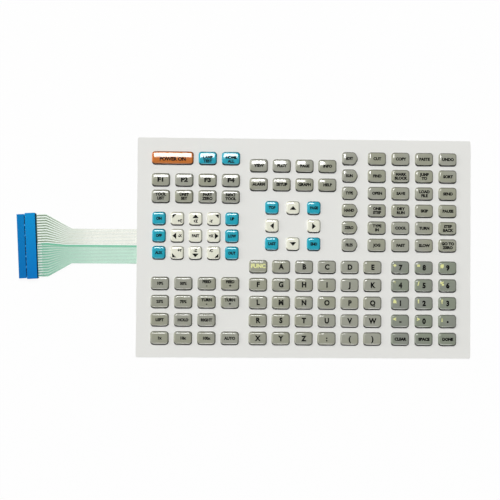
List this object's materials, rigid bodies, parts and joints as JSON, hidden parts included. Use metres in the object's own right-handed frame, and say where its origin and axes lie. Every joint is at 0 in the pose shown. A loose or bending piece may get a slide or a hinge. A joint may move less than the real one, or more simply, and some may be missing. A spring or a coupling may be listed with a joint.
{
  "type": "membrane keypad",
  "caption": "Flat rectangular membrane keypad with blocks of raised glossy keys, a flat printed tail that flares out and a blue push-on socket connector, for a machine control panel.",
  "frame": {"origin": "centre of the keypad's rear face", "axes": "+Z out of the front face, +X along the keypad's width away from the tail, +Y up the front"},
  "size_m": [0.4465, 0.2158, 0.0055],
  "materials": {
    "overlay_film": "semi-gloss film, glossy keys",
    "filler_resin": "plain",
    "adhesive": "tacky",
    "retainer_film": "plain",
    "dome_steel": "bright",
    "clear_film": "clear film",
    "silver_ink": "printed silver",
    "clear_coat": "clear coat",
    "spacer_film": "plain",
    "lower_film": "clear film",
    "green_coat": "printed coat",
    "liner_paper": "siliconed paper",
    "housing_plastic": "moulded",
    "cover_plastic": "moulded",
    "contact_metal": "tin plated"
  },
  "bodies": {
    "root": {"graphic_overlay": "overlay_film", "key_fillers": "filler_resin", "overlay_adhesive": "adhesive", "dome_retainer": "retainer_film", "snap_domes": "dome_steel", "upper_circuit": "clear_film", "upper_contact_pads": "silver_ink", "upper_conductors": "silver_ink", "upper_insulation": "clear_coat", "circuit_spacer": "spacer_film", "lower_circuit": "lower_film", "lower_contact_pads": "silver_ink", "lower_conductors": "silver_ink", "lower_insulation": "green_coat", "rear_adhesive": "adhesive", "release_liner": "liner_paper", "connector_housing": "housing_plastic", "connector_cover": "cover_plastic", "connector_contacts": "contact_metal"}
  },
  "joints": []
}
